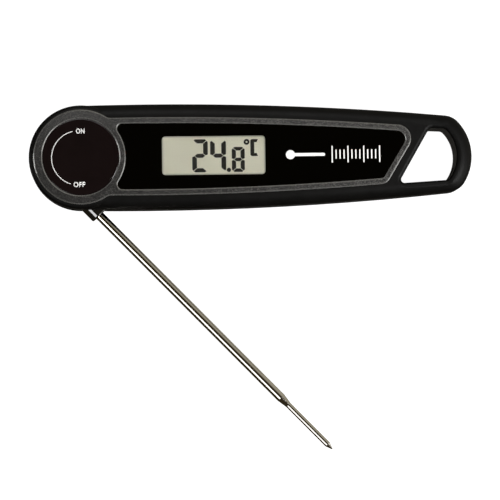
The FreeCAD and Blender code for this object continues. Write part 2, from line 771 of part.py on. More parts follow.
def battery_terminal_plus():
    """Leaf that touches the rim of the cell."""
    t = TERMINAL_T
    near, end = CELL_R + TERMINAL_GAP, CELL_Z[0] + 0.6
    return bent_strip([
        (PLUS_FOOT_Y, BOARD_Z), (PLUS_FOOT_Y, BOARD_Z - t), (near, BOARD_Z - t), (near, end),
        (near + t, end), (near + t, BOARD_Z),
    ], CELL_X - TERMINAL_HALF, CELL_X + TERMINAL_HALF)


def coin_cell():
    """3 V lithium coin cell, 20 mm across and 3.2 mm thick."""
    low, high = CELL_Z
    can = cylinder(CELL_R, low, high - 0.8, CELL_X)
    can = can.makeFillet(0.4, level_edges(can, low))
    cap = cylinder(CELL_R - 1.1, high - 0.8, high, CELL_X)
    return fuse_all([can, cap.makeFillet(0.3, level_edges(cap, high))])


def board_leads():
    """Pair of wires from the board, through the channel, to the hinge."""
    z_board = BOARD_Z - LEAD_WIRE_R - 0.05
    z_channel = CHANNEL_Z + 0.7
    leads = []
    for y in (LEAD_Y - 0.4, LEAD_Y + 0.4):
        leads.append(wire_run([
            (LEAD_X, y, HINGE_HIGH + FIT), (LEAD_X, y, z_channel), (LEAD_EXIT_X - 0.7, y, z_channel),
            (LEAD_EXIT_X - 0.7, y, z_board), (BOARD_X[0] + 2, y, z_board),
        ], LEAD_WIRE_R))
    return Part.makeCompound(leads)


# --------------------------------------------------------------------- fastenings
def cross_recess(size, depth, z, x, y):
    """Cross slot for a screwdriver, cut upwards from z."""
    bar = block(x - size, x + size, y - 0.25, y + 0.25, z, z + depth)
    return bar.fuse(block(x - 0.25, x + 0.25, y - size, y + size, z, z + depth))


def housing_screw(x, y):
    low = SCREW_SEAT_Z - SCREW_HEAD_T
    head = cylinder(SCREW_HEAD_R, low, SCREW_SEAT_Z, x, y)
    head = head.makeFillet(0.4, level_edges(head, low))
    screw = fuse_all([head, cylinder(SCREW_R, SCREW_SEAT_Z, SCREW_END_Z, x, y)])
    return screw.cut(cross_recess(1.1, 0.8, low, x, y))


def board_screw(x, y):
    low = BOARD_Z - BOARD_SCREW_HEAD_T
    head = cylinder(BOARD_SCREW_HEAD_R, low, BOARD_Z, x, y)
    screw = fuse_all([head, cylinder(BOARD_SCREW_R, BOARD_Z, BOARD_SCREW_END, x, y)])
    return screw.cut(cross_recess(0.8, 0.5, low, x, y))


def pivot_screw():
    top = PIVOT_SEAT_Z + PIVOT_HEAD_T
    head = cylinder(PIVOT_HEAD_R, PIVOT_SEAT_Z, top)
    head = head.makeFillet(0.4, level_edges(head, top))
    screw = fuse_all([head, cylinder(PIVOT_SCREW_R, PIVOT_END_Z, PIVOT_SEAT_Z)])
    return screw.cut(cross_recess(1.6, 0.9, top - 0.9, 0, 0))


def curved_washer():
    """Spring washer bent about the Y axis; it gives the hinge its drag."""
    top = HINGE_HIGH - FIT
    centre = vec(0, -20, top - WASHER_BEND_R)
    plate = ring(WASHER_R, POST_R + 0.1, ROTOR_ROOF, HINGE_HIGH)
    outer = Part.makeCylinder(WASHER_BEND_R, 40, centre, vec(0, 1, 0))
    inner = Part.makeCylinder(WASHER_BEND_R - WASHER_T, 40, centre, vec(0, 1, 0))
    return plate.common(outer.cut(inner))


def hub_o_ring():
    return Part.makeTorus(SEAL_RING_R, SEAL_CORD_R, vec(0, 0, HINGE_LOW - 0.57 + SEAL_CORD_R))


# ------------------------------------------------------------------- probe arm
def probe_rotor():
    """Hinge disc and probe holder in one moulding, drawn in the folded pose."""
    disc = cylinder(ROTOR_R, ROTOR_LOW, ROTOR_HIGH)
    slab = block(0, HOLDER_X, -PROBE_OFFSET, HOLDER_INNER_Y, ROTOR_LOW, ROTOR_HIGH)
    rounded_side = rod_x(HOLDER_R, 0, HOLDER_X, -PROBE_OFFSET, PARTING_Z)
    arm = fuse_all([slab, rounded_side])
    end = [e for e in arm.Edges if e.BoundBox.XMin > HOLDER_X - TINY]
    rotor = fuse_all([disc, arm.makeFillet(0.5, end)])
    rotor = cut_all(rotor, [
        cylinder(POST_BORE, 0, SHELL_TOP),
        ring(ROTOR_WALL_R + 0.5, HUB_R, ROTOR_LOW, ROTOR_LOW + LID_T),
        ring(ROTOR_WALL_R, HUB_R, ROTOR_LOW, ROTOR_ROOF),
        cylinder(WASHER_POCKET_R, ROTOR_ROOF + 0.45, ROTOR_HIGH),
        sector(LEAD_SLOT_OUT, LEAD_SLOT_IN, -8, 188, ROTOR_ROOF, ROTOR_HIGH),
        rod_x(TUBE_ROOT_R + 0.02, TUBE_START_X - 0.5, HOLDER_X + 1, -PROBE_OFFSET, PARTING_Z),
        rod_x(SEAL_R, HOLDER_X - SEAL_LENGTH, HOLDER_X + 1, -PROBE_OFFSET, PARTING_Z),
    ])
    x, y = magnet_place()
    boss = cylinder(MAGNET_R + 0.8, ROTOR_LOW + LID_T, ROTOR_ROOF, x, y)
    boss = boss.cut(cylinder(MAGNET_R + 0.02, ROTOR_LOW + LID_T, ROTOR_LOW + LID_T + MAGNET_T + 0.1, x, y))
    return fuse_all([rotor, boss])


def magnet_place():
    angle = math.radians(MAGNET_ANGLE)
    return MAGNET_PLACE_R * math.cos(angle), MAGNET_PLACE_R * math.sin(angle)


def rotor_lid():
    """Snap-in cover under the rotor's wiring space."""
    return ring(ROTOR_WALL_R + 0.45, HUB_R + FIT, ROTOR_LOW, ROTOR_LOW + LID_T)


def switch_magnet():
    x, y = magnet_place()
    return cylinder(MAGNET_R, ROTOR_LOW + LID_T + 0.05, ROTOR_LOW + LID_T + 0.05 + MAGNET_T, x, y)


def probe_tube():
    """Stem tube; the end inside the holder is swaged slightly smaller."""
    y, z = -PROBE_OFFSET, PARTING_Z
    root = rod_x(TUBE_ROOT_R, TUBE_START_X, HOLDER_X, y, z)
    tube = fuse_all([root, rod_x(PROBE_R, HOLDER_X, STEP_X, y, z)])
    return tube.cut(rod_x(PROBE_BORE, TUBE_START_X, STEP_X, y, z))


def probe_tip():
    """Reduced needle: a plug in the tube, a cone, the thin shaft and its point."""
    y, z = -PROBE_OFFSET, PARTING_Z
    neck = STEP_X + STEP_LENGTH
    point = TIP_X - POINT_LENGTH
    tip = fuse_all([
        rod_x(PROBE_BORE - 0.01, STEP_X - PLUG_LENGTH, STEP_X, y, z),
        cone_x(PROBE_R, NEEDLE_R, STEP_X, neck, y, z),
        rod_x(NEEDLE_R, neck, point, y, z),
        cone_x(NEEDLE_R, POINT_END_R, point, TIP_X, y, z),
    ])
    return tip.cut(rod_x(NEEDLE_BORE, STEP_X - PLUG_LENGTH, point - 0.3, y, z))


def thermistor():
    bead = rod_x(THERMISTOR_R, THERMISTOR_X, THERMISTOR_X + THERMISTOR_LENGTH, -PROBE_OFFSET, PARTING_Z)
    return bead.makeFillet(0.25, [e for e in bead.Edges if e.BoundBox.XLength < TINY])


def thermistor_leads():
    """Two wires from the sensor, down the tube and part of the way round the hub."""
    leads = []
    for z in (PARTING_Z - 0.33, PARTING_Z + 0.33):
        straight = rod_x(THIN_WIRE_R, 0, THERMISTOR_X, -PROBE_OFFSET, z)
        turn = Part.makeTorus(PROBE_OFFSET, THIN_WIRE_R, vec(0, 0, z), vec(0, 0, 1), -180, 180, 60)
        turn.rotate(vec(0, 0), vec(0, 0, 1), -150)
        leads.append(fuse_all([straight, turn]))
    return Part.makeCompound(leads)


def probe_ferrule():
    """Crimp sleeve on the inner end of the tube."""
    y, z = -PROBE_OFFSET, PARTING_Z
    outer = rod_x(FERRULE_R, TUBE_START_X + 0.3, TUBE_START_X + 2.6, y, z)
    return outer.cut(rod_x(TUBE_ROOT_R + 0.02, TUBE_START_X, TUBE_START_X + 3, y, z))


def tube_seal():
    """Rubber sleeve in the mouth of the holder."""
    y, z = -PROBE_OFFSET, PARTING_Z
    outer = rod_x(SEAL_R - 0.02, HOLDER_X - SEAL_LENGTH, HOLDER_X - 0.25, y, z)
    return outer.cut(rod_x(TUBE_ROOT_R + 0.02, HOLDER_X - SEAL_LENGTH, HOLDER_X, y, z))


def opened(shape):
    """Turn a piece of the probe arm from the straight pose to the rest pose."""
    turned = shape.copy()
    turned.rotate(vec(0, 0), vec(0, 0, 1), -OPEN_ANGLE)
    return turned


# ----------------------------------------------------------------- battery door
def battery_cover():
    """Twist-lock door: disc, three lugs, coin slot and a groove for its seal."""
    disc = cylinder(DOOR_R, 0, DOOR_T, CELL_X)
    lugs = [lug_sector(i, 0, 0, LUG_R, *LUG_Z) for i in range(LUG_COUNT)]
    door = fuse_all([disc] + lugs)
    half_x, half_y = COIN_SLOT_HALF
    slot = rounded_block(CELL_X - half_x, CELL_X + half_x, -half_y, half_y, 0, COIN_SLOT_T, half_y - FIT)
    mark = cylinder(0.5, 0, 0.3, CELL_X, DOOR_R - 1.8)
    outer, inner = DOOR_SEAL_R + DOOR_GROOVE_HALF, DOOR_SEAL_R - DOOR_GROOVE_HALF
    groove = ring(outer, inner, DOOR_T - DOOR_GROOVE_T, DOOR_T, CELL_X)
    return cut_all(door, [slot, mark, groove])


def battery_cover_seal():
    floor = DOOR_T - DOOR_GROOVE_T
    return Part.makeTorus(DOOR_SEAL_R, DOOR_SEAL_CORD_R, vec(CELL_X, 0, floor + DOOR_SEAL_CORD_R + 0.02))


def root_nodes(blank):
    return {
        "front_shell": front_shell(blank),
        "back_shell": back_shell(blank),
        "probe_channel": probe_channel(),
        "bezel_trim": bezel_trim(),
        "dial_cover": dial_cover(),
        "display_lens": display_lens(),
        "lens_mask": lens_mask(),
        "lcd_cell": lcd_cell(),
        "lcd_frame": lcd_frame(),
        "zebra_strips": zebra_strips(),
        "main_board": main_board(),
        "controller_blob": controller_blob(),
        "board_components": board_components(),
        "reed_switch": reed_switch(),
        "battery_terminal_plus": battery_terminal_plus(),
        "battery_terminal_minus": battery_terminal_minus(),
        "coin_cell": coin_cell(),
        "board_leads": board_leads(),
        "board_screws": Part.makeCompound([board_screw(x, y) for x, y in BOARD_SCREWS]),
        "housing_screws": Part.makeCompound([housing_screw(x, y) for x, y in HOUSING_SCREWS]),
        "pivot_screw": pivot_screw(),
        "curved_washer": curved_washer(),
        "hub_o_ring": hub_o_ring(),
    }


def probe_nodes():
    return {
        "probe_rotor": probe_rotor(),
        "rotor_lid": rotor_lid(),
        "switch_magnet": switch_magnet(),
        "probe_tube": probe_tube(),
        "probe_tip": probe_tip(),
        "thermistor": thermistor(),
        "thermistor_leads": thermistor_leads(),
        "probe_ferrule": probe_ferrule(),
        "tube_seal": tube_seal(),
    }


def main():
    os.makedirs("parts", exist_ok=True)
    for name, shape in root_nodes(housing_blank()).items():
        save(name, shape)
    for name, shape in probe_nodes().items():
        save(name, opened(shape))
    save("battery_cover", battery_cover())
    save("battery_cover_seal", battery_cover_seal())


main()
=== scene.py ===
"""Looks of the folding meat thermometer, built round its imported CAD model.

Lengths are metres, in the frame of the CAD model: X runs towards the hanging loop, Z up through the display.
"""

import math

import bmesh
import bpy
from mathutils import Matrix, Vector


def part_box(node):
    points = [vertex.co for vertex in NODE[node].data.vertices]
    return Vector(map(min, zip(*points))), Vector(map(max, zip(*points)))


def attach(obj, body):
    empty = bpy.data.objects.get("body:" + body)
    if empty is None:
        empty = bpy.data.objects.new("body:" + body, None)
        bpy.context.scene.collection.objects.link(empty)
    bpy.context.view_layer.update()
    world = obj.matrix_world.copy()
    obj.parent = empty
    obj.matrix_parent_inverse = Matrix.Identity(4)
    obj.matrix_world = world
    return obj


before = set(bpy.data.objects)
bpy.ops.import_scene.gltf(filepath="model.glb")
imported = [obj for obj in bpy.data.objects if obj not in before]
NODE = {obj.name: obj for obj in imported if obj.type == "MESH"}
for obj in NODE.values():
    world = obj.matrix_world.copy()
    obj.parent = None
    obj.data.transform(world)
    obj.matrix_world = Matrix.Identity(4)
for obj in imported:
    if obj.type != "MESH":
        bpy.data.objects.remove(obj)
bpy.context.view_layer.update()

MM = 0.001

# ---------------------------------------------------------------- dial artwork
PRINT_T = 0.02 * MM                      # thickness of printed ink
ARC_CENTRE = (-0.70 * MM, -0.33 * MM)
ARC_R = 9.43 * MM                        # printed arc on the dial
ARC_STROKE = 0.25 * MM
ARC_FROM = 102.5                         # degrees, by ON
ARC_TO = 252.5                           # degrees, by OFF
LETTER_H = 1.85 * MM
ON_PLACE = (-0.10 * MM, 9.02 * MM)
ON_WIDTH = 3.0 * MM
OFF_PLACE = (-0.62 * MM, -9.58 * MM)
OFF_WIDTH = 4.0 * MM
LETTER_WEIGHT = 0.032                    # extra weight of the strokes, per unit of type size
LETTER_SPACING = 1.12

# --------------------------------------------------------------- panel artwork
SIGN_X = 72.9 * MM                       # middle of the thermometer sign's bulb
SIGN_BULB_R = 1.6 * MM
SIGN_STEM_HALF = 0.55 * MM               # half the width of the sign's stem
SIGN_REACH = 11.5 * MM
TICKS = 13                               # scale ticks beyond the sign
LONG_TICK = 4                            # every fourth tick is long
TICK_START = 87.2 * MM
TICK_STEP = 1.38 * MM
TICK_W = 0.42 * MM
LONG_REACH = 2.9 * MM                    # how far a tick goes to each side of the middle line
SHORT_REACH = 1.6 * MM

# --------------------------------------------------------- reading on the display
READING_LIFT = 0.01 * MM                 # the reading floats this far above the display's face
READING_BASE = -5.72 * MM                # foot of the digits
BIG_DIGITS = (("2", 38.72 * MM, 5.45 * MM), ("4", 45.0 * MM, 5.5 * MM))     # symbol, left edge, width
BIG_HEIGHT = 11.5 * MM
BIG_STROKES = (1.42 * MM, 1.62 * MM)     # level segments, upright segments
SMALL_X = 52.5 * MM
SMALL_SIZE = (4.5 * MM, 8.7 * MM)
SMALL_STROKES = (1.22 * MM, 1.45 * MM)
POINT_X = 51.45 * MM
POINT_R = 0.74 * MM
UNIT_PLACE = (59.0 * MM, -0.25 * MM)
UNIT_SIZE = (2.65 * MM, 5.9 * MM)
UNIT_STROKES = (1.05 * MM, 1.35 * MM)
DEGREE_CENTRE = (57.7 * MM, 4.72 * MM)
DEGREE_R = 0.66 * MM
DEGREE_STROKE = 0.72 * MM
BLUNT_SHARE = 0.60                       # blunted corner of a digit, per width of its upright segments
GAP_SHARE = 0.075                        # gap between segments, per width of the upright ones

# ------------------------------------------------------ where materials change
RING_SIDE_X = -15.0 * MM                 # the trim's flakes get denser between these: painted light, the trim lighter towards the loop
LOOP_SIDE_X = 100.0 * MM
TRIM_HALF_W = 11.0                       # millimetres, for the trim's gentle crown
TRIM_RISE = 0.45
WINDOW_X = (28.2 * MM, 64.2 * MM)        # clear window over the display
WINDOW_Y = (-6.6 * MM, 6.9 * MM)
SHADE_BAND = (-0.65 * MM, 0.25 * MM)     # painted shade of the mask on the display, over this band from the window's edge
SHADE_DEPTH = 0.75
MIDDLE = (0.3, 0.7)                      # most of a noise lies between these
NARROW = (0.35, 0.65)

# ---------------------------------------------------------------------- camera
# it looks almost straight down from 1.2 m, a little from the near left
PX_PER_MM = 2.8582
FRAME_PX = 500
SENSOR_MM = 36.0
NEAR_CLIP = 0.01
VIEW_DISTANCE = 1.2
VIEW_PITCH = math.radians(2.3)
VIEW_YAW = math.radians(-2.0)
VIEW_ROLL = math.radians(-0.755)
VIEW_CENTRE = Vector((0.05867, -0.03267, 0.009))

# -------------------------------------------------------------- stage and light
STAGE_X = 0.06
STAGE_Y = -0.03
FLOOR_Z = -0.0006
FLOOR_SIZE = 8.0
DOME_R = 4.5
LIT_POINT = Vector((0.05, -0.03, 0.0))   # the lights face this point
# name, azimuth and elevation in degrees, distance, width and height, radiance of its face
SOFT_BOXES = (
    ("left_box", 225.0, 49.0, 0.75, (0.28, 0.38), 3.8),
    ("left_strip", 181.0, 3.0, 0.60, (0.28, 0.08), 9.0),
    ("right_strip", -24.0, 8.0, 0.40, (0.34, 0.10), 4.0),
    ("right_box", -20.0, 48.0, 0.45, (0.13, 0.13), 38.0),
    ("far_box", 95.0, 52.0, 0.75, (0.42, 0.4), 4.8),
)
ROOM_PALE_WAY = (0.71, 0.70, 0.0)        # the room is paler towards the far right
ROOM_SPREAD = (0.42, 0.72)
ROOM_DARK = (0.034, 0.026, 0.013)
ROOM_PALE = (0.40, 0.375, 0.31)
ROOM_BELOW = (0.30, 0.29, 0.27)
BELOW_SPREAD = (-0.93, -1.0)             # how far down a direction points to be below


# ---------------------------------------------------------------- node building
class Nodes:
    """Short ways to add nodes to a node tree."""

    def __init__(self, tree):
        self.tree = tree

    def link(self, output, socket):
        self.tree.links.new(output, socket)

    def node(self, kind, **settings):
        node = self.tree.nodes.new(kind)
        for key, value in settings.items():
            setattr(node, key, value)
        return node

    def remap(self, value, spread, new_low, new_high):
        """Number that runs from new_low to new_high while value crosses spread."""
        node = self.node("ShaderNodeMapRange")
        self.link(value, node.inputs["Value"])
        keys = ("From Min", "From Max", "To Min", "To Max")
        for key, number in zip(keys, (*spread, new_low, new_high)):
            node.inputs[key].default_value = number
        return node.outputs["Result"]

    def ramp(self, value, low, high, spread=MIDDLE):
        """Colour that runs from low to high while value crosses spread."""
        node = self.node("ShaderNodeValToRGB")
        for element, position, colour in zip(node.color_ramp.elements, spread, (low, high)):
            element.position = position
            element.color = (*colour, 1.0)
        self.link(value, node.inputs["Fac"])
        return node.outputs["Color"]

    def maths(self, operation, *values):
        node = self.node("ShaderNodeMath", operation=operation)
        for socket, value in zip(node.inputs, values):
            if isinstance(value, float):
                socket.default_value = value
            else:
                self.link(value, socket)
        return node.outputs["Value"]

    def mix(self, factor, first, second):
        """Colour from first to second, each an output or a plain tone."""
        node = self.node("ShaderNodeMix", data_type="RGBA")
        sockets = {s.name: s for s in node.inputs if s.enabled}
        for key, value in (("Factor", factor), ("A", first), ("B", second)):
            if isinstance(value, tuple):
                sockets[key].default_value = (*value, 1.0)
            else:
                self.link(value, sockets[key])
        return next(s for s in node.outputs if s.enabled)

    def dot(self, first, second):
        """Dot product of a direction with another, an output or a plain one."""
        node = self.node("ShaderNodeVectorMath", operation="DOT_PRODUCT")
        self.link(first, node.inputs[0])
        if isinstance(second, tuple):
            node.inputs[1].default_value = second
        else:
            self.link(second, node.inputs[1])
        return node.outputs["Value"]

    def part(self, vector, name):
        """X, Y or Z of a vector."""
        split = self.node("ShaderNodeSeparateXYZ")
        self.link(vector, split.inputs["Vector"])
        return split.outputs[name]


class Paint(Nodes):
    """A node material with one Principled shader and short ways to feed it."""

    def __init__(self, name):
        self.material = bpy.data.materials.new(name)
        self.material.use_nodes = True
        super().__init__(self.material.node_tree)
        self.shader = next(n for n in self.tree.nodes if n.type == "BSDF_PRINCIPLED")
        self.place = self.node("ShaderNodeTexCoord").outputs["Object"]

    def set(self, **values):
        """Fixed numbers and colours on the shader's own sockets."""
        for key, value in values.items():
            self.shader.inputs[key.replace("_", " ")].default_value = value
        return self

    def noise(self, grain_mm, detail=3.0, rough=0.6, place=None):
        """Noise whose features are about grain_mm wide."""
        node = self.node("ShaderNodeTexNoise")
        node.inputs["Scale"].default_value = 1.0 / (grain_mm * MM)
        node.inputs["Detail"].default_value = detail
        node.inputs["Roughness"].default_value = rough
        self.link(place or self.place, node.inputs["Vector"])
        return node.outputs["Fac"]

    def wipes(self):
        """Noise drawn out along Y, like the marks that a cloth leaves."""
        mapping = self.node("ShaderNodeMapping")
        mapping.inputs["Scale"].default_value = (1.0, 0.25, 1.0)
        self.link(self.place, mapping.inputs["Vector"])
        return self.noise(4.0, 6.0, 0.7, mapping.outputs["Vector"])

    def cells(self, size_mm):
        """Random value of each little cell, and the distance from its middle, for flakes."""
        node = self.node("ShaderNodeTexVoronoi")
        node.inputs["Scale"].default_value = 1.0 / (size_mm * MM)
        self.link(self.place, node.inputs["Vector"])
        channels = self.node("ShaderNodeSeparateColor")
        self.link(node.outputs["Color"], channels.inputs["Color"])
        return channels.outputs["Red"], node.outputs["Distance"]

    def worn_edges(self, radius_mm, lean=(0.80, 0.97), patch_low=0.0):
        """1 on sharp edges, 0 on flats, from how far a bevelled normal leans."""
        bevel = self.node("ShaderNodeBevel", samples=4)
        bevel.inputs["Radius"].default_value = radius_mm * MM
        geometry = self.node("ShaderNodeNewGeometry")
        agreement = self.dot(bevel.outputs["Normal"], geometry.outputs["Normal"])
        edge = self.remap(agreement, lean, 1.0, 0.0)
        patches = self.remap(self.noise(1.6, 4.0), (0.42, 0.62), patch_low, 1.0)
        return self.maths("MULTIPLY", edge, patches)

    def sloping(self):
        """1 on faces that slope, such as chamfers, 0 on level faces."""
        normal = self.node("ShaderNodeTexCoord").outputs["Normal"]
        return self.remap(self.part(normal, "Z"), (0.985, 0.85), 0.0, 1.0)

    def crown(self, rise_mm, half_width_mm):
        """Height of a gentle crown across Y, in millimetres, for bump."""
        share = self.maths("DIVIDE", self.part(self.place, "Y"), half_width_mm * MM)
        square = self.maths("MULTIPLY", share, share)
        return self.maths("MULTIPLY", square, -rise_mm)

    def colour(self, output):
        self.link(output, self.shader.inputs["Base Color"])
        return self

    def roughness(self, output):
        self.link(output, self.shader.inputs["Roughness"])
        return self

    def patchy(self, grain_mm, detail, low, high, spread=MIDDLE):
        """Base colour that wanders between two tones."""
        return self.colour(self.ramp(self.noise(grain_mm, detail), low, high, spread))

    def uneven(self, grain_mm, detail, low, high):
        """Roughness that wanders between two values."""
        return self.roughness(self.remap(self.noise(grain_mm, detail), MIDDLE, low, high))

    def bump(self, height, depth_mm):
        node = self.node("ShaderNodeBump")
        node.inputs["Distance"].default_value = depth_mm * MM
        self.link(height, node.inputs["Height"])
        self.link(node.outputs["Normal"], self.shader.inputs["Normal"])
        return self


def shade(tone, share):
    return tuple(c * share for c in tone)


# -------------------------------------------------------------------- materials
def black_plastic(name, tone, edge_tone, rough, grain_mm, depth_mm, specular=0.25):
    """Moulded black plastic: faint mottling, fine spark texture, paler worn edges."""
    p = Paint(name).set(Specular_IOR_Level=specular)
    patches = p.ramp(p.noise(7.0, 4.0), shade(tone, 0.82), shade(tone, 1.2), NARROW)
    p.colour(p.mix(p.worn_edges(0.25), patches, edge_tone))
    p.uneven(2.5, 5.0, rough - 0.05, rough + 0.06)
    return p.bump(p.noise(grain_mm, 2.0), depth_mm).material


def graphite_trim():
    """Graphite lacquer with fine bright flakes and paler chamfers; the flakes grow denser towards the loop,
    painted light that makes that end lighter.
    """
    p = Paint("graphite_trim").set(Metallic=0.5, Specular_IOR_Level=0.5)
    p.set(Coat_Weight=0.15, Coat_Roughness=0.25)
    flake, flake_distance = p.cells(0.20)
    base = p.ramp(p.noise(3.0, 3.0), (0.011, 0.0106, 0.0100), (0.017, 0.0165, 0.0157))
    # painted light: more flakes towards the loop make that end of the trim lighter
    painted_light_to_loop = p.remap(p.part(p.place, "X"), (RING_SIDE_X, LOOP_SIDE_X), 0.5, 1.4)
    flakes = p.maths("MULTIPLY", p.remap(flake, (0.62, 0.98), 0.0, 1.0), painted_light_to_loop)
    flecked = p.mix(flakes, base, (0.105, 0.101, 0.095))
    chamfer = p.sloping()
    bright = p.maths("MAXIMUM", chamfer, p.worn_edges(0.12, (0.90, 0.995), 0.2))
    p.colour(p.mix(bright, flecked, (0.18, 0.18, 0.172)))
    grain = p.remap(flake, (0.0, 1.0), 0.34, 0.50)
    p.roughness(p.maths("SUBTRACT", grain, p.maths("MULTIPLY", chamfer, 0.16)))
    relief = p.maths("MULTIPLY", p.maths("ADD", flake_distance, p.noise(0.12, 2.0)), 0.010)
    return p.bump(p.maths("ADD", relief, p.crown(TRIM_RISE, TRIM_HALF_W)), 1.0).material


def gloss_black(name, tone, rough=0.06, specular=0.5):
    """Polished black with faint wipe marks in the gloss."""
    p = Paint(name).set(Specular_IOR_Level=specular)
    p.patchy(9.0, 3.0, shade(tone, 0.8), tone, NARROW)
    p.roughness(p.remap(p.wipes(), (0.35, 0.7), rough, rough + 0.05))
    return p.bump(p.noise(18.0, 1.0), 0.004).material


def holder_gloss():
    """Polished dense black moulding with a strong sheen."""
    p = Paint("holder_gloss").set(IOR=2.4)
    p.patchy(3.0, 3.0, (0.004, 0.004, 0.0038), (0.008, 0.0078, 0.0075))
    p.uneven(1.2, 4.0, 0.05, 0.10)
    return p.bump(p.noise(1.0, 2.0), 0.003).material


def clear_lens():
    """Clear acrylic, a little smoky, with faint wipe marks."""
    p = Paint("clear_lens").set(Transmission_Weight=1.0, IOR=1.45, Base_Color=(0.96, 0.965, 0.96, 1.0))
    return p.roughness(p.remap(p.wipes(), (0.4, 0.75), 0.0, 0.012)).material


def lcd_glass():
    """Reflective display ground: pale beige with a fine sparkle, and painted shade of the mask at its edges.
    """
    p = Paint("lcd_ground").set(Specular_IOR_Level=0.3)
    ground = p.ramp(p.noise(14.0, 2.0), (0.84, 0.81, 0.658), (0.90, 0.872, 0.706))
    sparkle = p.remap(p.noise(0.15, 2.0), MIDDLE, 0.0, 0.22)
    clean = p.mix(sparkle, ground, (0.765, 0.737, 0.598))
    # painted shade: the ground darkens under the window's edge, as if shaded by the mask
    p.colour(p.mix(painted_window_shade(p), clean, (0.13, 0.125, 0.10)))
    p.uneven(0.6, 3.0, 0.42, 0.55)
    return p.bump(p.noise(0.2, 2.0), 0.003).material


def painted_window_shade(p):
    """0 in the middle of the window, rising under its edge, for painted shade of the mask on the glass."""
    past_edge = []
    for axis, (low, high) in (("X", WINDOW_X), ("Y", WINDOW_Y)):
        from_middle = p.maths("ABSOLUTE", p.maths("SUBTRACT", p.part(p.place, axis), (low + high) / 2))
        past_edge.append(p.maths("SUBTRACT", from_middle, (high - low) / 2))
    return p.remap(p.maths("MAXIMUM", *past_edge), SHADE_BAND, 0.0, SHADE_DEPTH)


def lcd_ink():
    p = Paint("lcd_ink").set(Specular_IOR_Level=0.2)
    p.patchy(1.2, 3.0, (0.022, 0.021, 0.018), (0.034, 0.032, 0.028), NARROW)
    p.uneven(0.5, 2.0, 0.5, 0.65)
    return p.bump(p.noise(0.3, 2.0), 0.002).material


def white_ink():
    """Screen-printed white with a slightly uneven film."""
    p = Paint("white_ink").set(Specular_IOR_Level=0.4)
    p.patchy(0.35, 4.0, (0.70, 0.70, 0.69), (0.86, 0.86, 0.85))
    p.uneven(0.5, 3.0, 0.35, 0.5)
    return p.bump(p.noise(0.15, 2.0), 0.004).material


def stainless(name, tone, rough):
    """Polished stainless steel with fine handling marks."""
    p = Paint(name).set(Metallic=1.0, Specular_IOR_Level=0.5)
    p.patchy(5.0, 4.0, shade(tone, 0.90), tone)
    marks = p.noise(0.5, 6.0, 0.7)
    p.roughness(p.remap(marks, (0.3, 0.75), rough, rough + 0.05))
    return p.bump(marks, 0.0008).material


def plated(name, tone, rough=0.3):
    """Plated sheet or turned metal."""
    p = Paint(name).set(Metallic=1.0)
    patches = p.ramp(p.noise(2.0, 4.0), shade(tone, 0.8), tone)
    p.colour(p.mix(p.worn_edges(0.12), patches, (0.7, 0.7, 0.68)))
    p.uneven(1.0, 5.0, rough - 0.08, rough + 0.12)
    return p.bump(p.noise(0.25, 3.0), 0.004).material


def rubber():
    p = Paint("dark_rubber").set(Specular_IOR_Level=0.3)
    p.patchy(1.5, 4.0, (0.014, 0.014, 0.014), (0.032, 0.031, 0.030))
    p.uneven(0.8, 4.0, 0.6, 0.8)
    return p.bump(p.noise(0.12, 3.0), 0.01).material


def circuit_board():
    """Green solder mask over faint copper tracks."""
    p = Paint("circuit_board").set(Specular_IOR_Level=0.5)
    wave = p.node("ShaderNodeTexWave", wave_type="BANDS", bands_direction="DIAGONAL")
    wave.inputs["Scale"].default_value = 300.0
    wave.inputs["Distortion"].default_value = 6.0
    p.link(p.place, wave.inputs["Vector"])
    tracks = p.remap(wave.outputs["Fac"], (0.45, 0.55), 0.0, 1.0)
    p.colour(p.mix(tracks, (0.010, 0.085, 0.035), (0.020, 0.150, 0.065)))
    p.uneven(1.5, 3.0, 0.28, 0.4)
    return p.bump(tracks, 0.02).material


def mottled(name, low, high, rough, grain_mm=0.8):
    """Plain small parts: two-tone mottling and a little relief."""
    p = Paint(name).patchy(grain_mm, 4.0, low, high)
    p.uneven(grain_mm, 3.0, rough - 0.06, rough + 0.08)
    return p.bump(p.noise(grain_mm / 3, 2.0), 0.006).material


def capsule_glass():
    p = Paint("capsule_glass").set(Transmission_Weight=1.0, IOR=1.5, Base_Color=(0.80, 0.90, 0.86, 1.0))
    return p.uneven(0.8, 3.0, 0.02, 0.08).material


# ----------------------------------------------------------------- flat artwork
def ink_piece(name, mesh, material):
    """Put a finished ink mesh on the housing."""
    piece = bpy.data.objects.new(name, mesh)
    bpy.context.collection.objects.link(piece)
    mesh.materials.clear()
    mesh.materials.append(material)
    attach(piece, "housing")


def flat_piece(name, outlines, base_z, material):
    """Thin ink solid from closed (x, y) outlines, standing on height base_z."""
    mesh = bpy.data.meshes.new(name)
    work = bmesh.new()
    for outline in outlines:
        low = [work.verts.new((x, y, base_z)) for x, y in outline]
        high = [work.verts.new((x, y, base_z + PRINT_T)) for x, y in outline]
        work.faces.new(high)
        work.faces.new(low[::-1])
        for i in range(len(outline)):
            j = (i + 1) % len(outline)
            work.faces.new((low[i], low[j], high[j], high[i]))
    bmesh.ops.recalc_face_normals(work, faces=work.faces)
    work.to_mesh(mesh)
    work.free()
    ink_piece(name, mesh, material)


def disc_outline(x, y, radius, steps=32):
    angles = [2 * math.pi * i / steps for i in range(steps)]
    return [(x + radius * math.cos(a), y + radius * math.sin(a)) for a in angles]


def bar(x0, x1, y0, y1):
    return [(x0, y0), (x1, y0), (x1, y1), (x0, y1)]


def arc_strip(name, centre, radius, stroke, start, end, base_z, material, steps=96):
    """One continuous arc-shaped ink line."""
    x, y = centre
    inner, outer = radius - stroke / 2, radius + stroke / 2
    angles = [math.radians(start + (end - start) * i / steps) for i in range(steps + 1)]
    outline = [(x + outer * math.cos(a), y + outer * math.sin(a)) for a in angles]
    outline += [(x + inner * math.cos(a), y + inner * math.sin(a)) for a in reversed(angles)]
    flat_piece(name, [outline], base_z, material)


